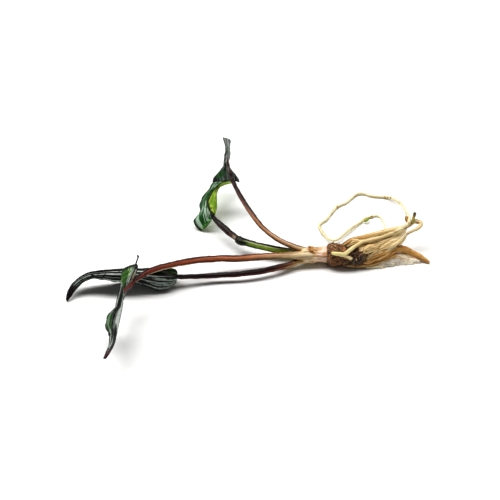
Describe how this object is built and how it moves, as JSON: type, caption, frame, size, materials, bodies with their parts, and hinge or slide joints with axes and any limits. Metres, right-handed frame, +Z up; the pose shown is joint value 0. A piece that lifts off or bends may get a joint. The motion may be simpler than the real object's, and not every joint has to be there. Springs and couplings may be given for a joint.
{
  "type": "cryptocoryne water plant",
  "caption": "Small rosette water plant with bare roots, lying on its side: long-stalked folded leaves, a pale crown, a knobbly dark rhizome and wiry tan roots.",
  "frame": {"origin": "on the worn flat underside of the rhizome, below the rhizome's thickest part", "axes": "+Z up from the surface it lies on, +X along the rhizome towards the root tips, so the leaves point to -X"},
  "size_m": [0.1351, 0.1306, 0.0206],
  "materials": {
    "rhizome_bark": "rough, fibrous and knobbly, dark brown",
    "crown_skin": "smooth wet leaf bases, pale pink-cream, with a torn brown rim",
    "copper_stalk": "satin, copper brown, darker near the leaf",
    "red_stalk": "satin, red-brown that fades to cream at the crown",
    "dark_stalk": "glossy, almost black purple-brown",
    "green_sheath": "satin, yellow-green with a dark upper edge",
    "dark_leaf": "wet gloss, green-black with silver streaks along the veins",
    "silver_leaf": "wet gloss, grey-green with silver streaks and a purple-brown tip",
    "green_leaf": "satin, mid green with a silver sheen, yellow-green underside",
    "tan_root": "satin, flat fibrous tan",
    "pale_root": "smooth, pale yellow, slightly translucent",
    "brown_root": "satin, ochre brown, fibrous",
    "olive_root": "matt, olive with a dark tip"
  },
  "bodies": {
    "root": {"rhizome": "rhizome_bark", "crown": "crown_skin", "back_leaf_stalk": "copper_stalk", "front_leaf_stalk": "red_stalk", "side_leaf_stalk": "dark_stalk", "folded_leaf_sheath": "green_sheath", "folded_leaf_stalk": "dark_stalk", "back_leaf_blade": "dark_leaf", "folded_leaf_blade": "green_leaf", "front_leaf_blade": "silver_leaf", "side_leaf_blade": "dark_leaf", "upper_root": "tan_root", "long_root": "pale_root", "middle_root": "tan_root", "lower_middle_root": "tan_root", "thick_root": "brown_root", "low_root": "pale_root", "dark_root_stub": "olive_root", "brown_root_stub": "brown_root", "root_bud": "tan_root"}
  },
  "joints": []
}
